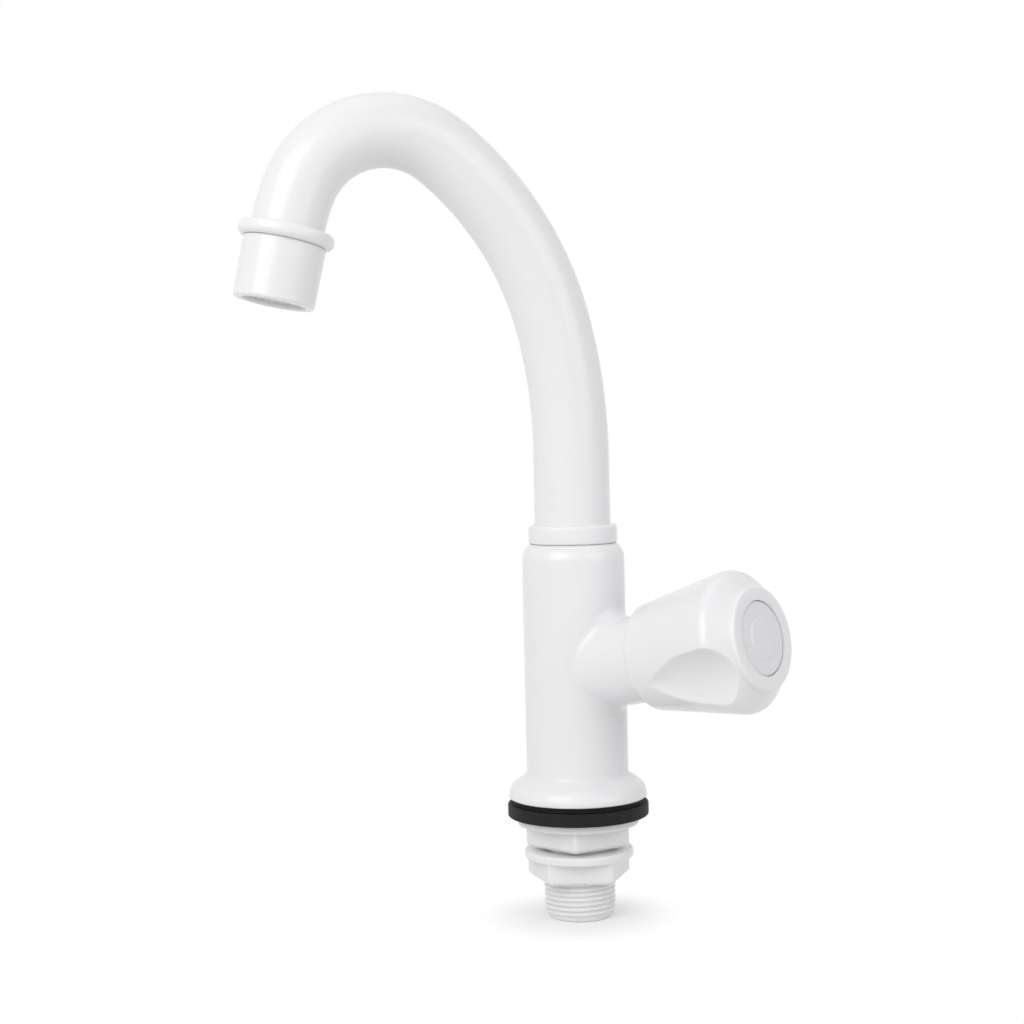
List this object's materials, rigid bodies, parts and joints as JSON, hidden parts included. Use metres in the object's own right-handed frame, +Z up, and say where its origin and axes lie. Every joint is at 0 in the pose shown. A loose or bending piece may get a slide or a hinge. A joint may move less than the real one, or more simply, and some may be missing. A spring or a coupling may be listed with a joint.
{
  "type": "pillar tap",
  "caption": "Plastic deck-mounted pillar tap with a swan-neck swivel spout, a slanted side knob, a black base washer and flanged backnuts on a threaded tail.",
  "frame": {"origin": "on the column's axis at the deck plane, which is the underside of the base washer", "axes": "+Z up the column; the spout at rest points along -X; the side knob points 59 degrees from +X towards -Y, 11 degrees upwards"},
  "size_m": [0.1843, 0.1052, 0.3017],
  "materials": {
    "white_plastic": "glossy white moulded plastic",
    "cap_plastic": "satin white moulded plastic",
    "nut_plastic": "milky ivory moulded plastic",
    "washer_rubber": "smooth black rubber",
    "seal_rubber": "black rubber",
    "slip_plastic": "natural white plastic",
    "aerator_plastic": "pale grey plastic",
    "screen_steel": "thin steel",
    "spring_steel": "plain steel",
    "screw_brass": "plain brass"
  },
  "bodies": {
    "tap_body": {"body": "white_plastic", "base_washer": "washer_rubber", "headwork_bush": "slip_plastic", "headwork_seal": "seal_rubber", "spindle_slip_ring": "slip_plastic", "spout_slip_ring": "slip_plastic", "spout_clip": "spring_steel"},
    "swivel_spout": {"spout": "white_plastic", "upper_spout_ring": "seal_rubber", "lower_spout_ring": "seal_rubber", "nozzle": "white_plastic", "aerator_core": "aerator_plastic", "aerator_grid": "aerator_plastic", "aerator_seal": "seal_rubber", "upper_screen": "screen_steel", "lower_screen": "screen_steel"},
    "handle": {"spindle": "slip_plastic", "spindle_rings": "seal_rubber", "spindle_clip": "spring_steel", "knob": "white_plastic", "knob_screw": "spring_steel", "knob_cap": "cap_plastic"},
    "valve": {"plunger": "slip_plastic", "valve_washer": "seal_rubber", "washer_screw": "screw_brass"},
    "clamp_backnut": {"clamp_nut": "nut_plastic"},
    "lock_backnut": {"lock_nut": "nut_plastic"}
  },
  "joints": [
    {"name": "spout_swivel", "type": "hinge", "parent": "tap_body", "child": "swivel_spout", "pos_m": [0, 0, 0.101], "axis": [0, 0, 1], "continuous": true},
    {"name": "handle_turn", "type": "hinge", "parent": "tap_body", "child": "handle", "pos_m": [0, 0, 0.0537], "axis": [0.5094, -0.8379, 0.1959], "range_deg": [0, 900]},
    {"name": "valve_lift", "type": "slide", "parent": "tap_body", "child": "valve", "axis": [0.5094, -0.8379, 0.1959], "range_m": [0, 0.0045]},
    {"name": "clamp_nut_travel", "type": "slide", "parent": "tap_body", "child": "clamp_backnut", "axis": [0, 0, -1], "range_m": [0, 0.009]},
    {"name": "lock_nut_travel", "type": "slide", "parent": "clamp_backnut", "child": "lock_backnut", "axis": [0, 0, -1], "range_m": [0, 0.005]}
  ],
  "couplings": [
    {"joint": "valve_lift", "follows": "handle_turn", "m_per_rad": 0.00028648}
  ]
}
